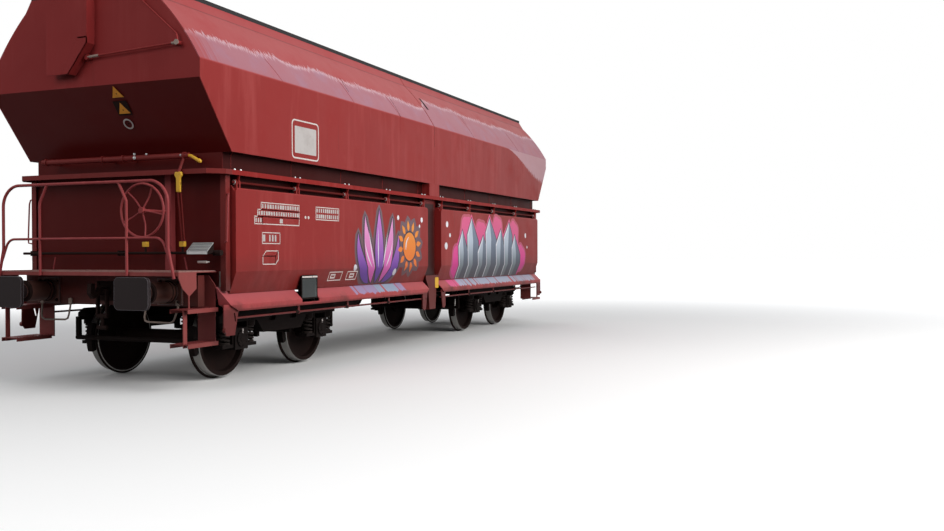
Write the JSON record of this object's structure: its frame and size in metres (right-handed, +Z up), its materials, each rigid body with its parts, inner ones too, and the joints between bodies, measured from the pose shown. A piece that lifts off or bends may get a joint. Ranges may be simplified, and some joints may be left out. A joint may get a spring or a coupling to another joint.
{
  "type": "open bogie hopper wagon with side discharge doors",
  "caption": "Open freight hopper wagon on bogies, with a saddle floor, side discharge doors, buffers, a brake platform with handwheel, and turning wheelsets.",
  "frame": {"origin": "middle of the wagon at the lowest point of the wheel flanges", "axes": "+X along the wagon to the end without the platform, +Y to the left side, +Z up"},
  "size_m": [12.54, 3, 4.4278],
  "materials": {
    "body_red": "faded dark red paint",
    "frame_red": "dirty dark red paint",
    "dark_steel": "brake dust and grease",
    "running_gear": "rusty steel",
    "spring_steel": "dirty steel",
    "worn_steel": "steel worn by the load",
    "seal": "dull black"
  },
  "bodies": {
    "wagon_body": {"bolsters": "frame_red", "brake_gear": "dark_steel", "buffers": "dark_steel", "centre_sill": "frame_red", "control_shaft": "body_red", "control_tube": "body_red", "corner_posts": "body_red", "corner_steps": "body_red", "cross_ties": "frame_red", "door_beam_left": "body_red", "door_beam_right": "body_red", "draw_gear": "dark_steel", "end_beams": "body_red", "end_linkage": "body_red", "end_wall_brake_end": "body_red", "end_wall_plain_end": "body_red", "handrails": "body_red", "handwheel": "body_red", "headstock_brake_end": "frame_red", "headstock_plain_end": "frame_red", "loading_rim": "seal", "middle_posts": "body_red", "platform": "body_red", "saddle_floor": "worn_steel", "saddle_webs": "frame_red", "side_wall_left_brake_end": "body_red", "side_wall_left_plain_end": "body_red", "side_wall_right_brake_end": "body_red", "side_wall_right_plain_end": "body_red", "sill_left": "body_red", "sill_right": "body_red"},
    "bogie_brake_end": {"bogie_frame_brake_end": "dark_steel", "axle_boxes_brake_end": "running_gear", "springs_brake_end": "spring_steel", "brake_rigging_brake_end": "dark_steel"},
    "bogie_plain_end": {"bogie_frame_plain_end": "dark_steel", "axle_boxes_plain_end": "running_gear", "springs_plain_end": "spring_steel", "brake_rigging_plain_end": "dark_steel"},
    "wheelset_brake_end_outer": {"wheelset_brake_end_outer": "running_gear"},
    "wheelset_brake_end_inner": {"wheelset_brake_end_inner": "running_gear"},
    "door_left_brake_end": {"door_left_brake_end": "body_red"},
    "door_right_brake_end": {"door_right_brake_end": "body_red", "document_holder": "body_red"},
    "wheelset_plain_end_outer": {"wheelset_plain_end_outer": "running_gear"},
    "wheelset_plain_end_inner": {"wheelset_plain_end_inner": "running_gear"},
    "door_left_plain_end": {"door_left_plain_end": "body_red"},
    "door_right_plain_end": {"door_right_plain_end": "body_red"}
  },
  "joints": [
    {"name": "bogie_brake_end_swing", "type": "hinge", "parent": "wagon_body", "child": "bogie_brake_end", "pos_m": [-3.75, 0, 0.928], "axis": [0, 0, 1], "range_deg": [-6, 6]},
    {"name": "wheelset_brake_end_outer_roll", "type": "hinge", "parent": "bogie_brake_end", "child": "wheelset_brake_end_outer", "pos_m": [-4.65, 0, 0.488], "axis": [0, 1, 0], "continuous": true},
    {"name": "wheelset_brake_end_inner_roll", "type": "hinge", "parent": "bogie_brake_end", "child": "wheelset_brake_end_inner", "pos_m": [-2.85, 0, 0.488], "axis": [0, 1, 0], "continuous": true},
    {"name": "bogie_plain_end_swing", "type": "hinge", "parent": "wagon_body", "child": "bogie_plain_end", "pos_m": [3.75, 0, 0.928], "axis": [0, 0, 1], "range_deg": [-6, 6]},
    {"name": "wheelset_plain_end_outer_roll", "type": "hinge", "parent": "bogie_plain_end", "child": "wheelset_plain_end_outer", "pos_m": [4.65, 0, 0.488], "axis": [0, 1, 0], "continuous": true},
    {"name": "wheelset_plain_end_inner_roll", "type": "hinge", "parent": "bogie_plain_end", "child": "wheelset_plain_end_inner", "pos_m": [2.85, 0, 0.488], "axis": [0, 1, 0], "continuous": true},
    {"name": "door_left_brake_end_open", "type": "hinge", "parent": "wagon_body", "child": "door_left_brake_end", "pos_m": [-3, 1.42, 2.29], "axis": [1, 0, 0], "range_deg": [0, 40]},
    {"name": "door_right_brake_end_open", "type": "hinge", "parent": "wagon_body", "child": "door_right_brake_end", "pos_m": [-3, -1.42, 2.29], "axis": [-1, 0, 0], "range_deg": [0, 40]},
    {"name": "door_left_plain_end_open", "type": "hinge", "parent": "wagon_body", "child": "door_left_plain_end", "pos_m": [3, 1.42, 2.29], "axis": [1, 0, 0], "range_deg": [0, 40]},
    {"name": "door_right_plain_end_open", "type": "hinge", "parent": "wagon_body", "child": "door_right_plain_end", "pos_m": [3, -1.42, 2.29], "axis": [-1, 0, 0], "range_deg": [0, 40]}
  ]
}
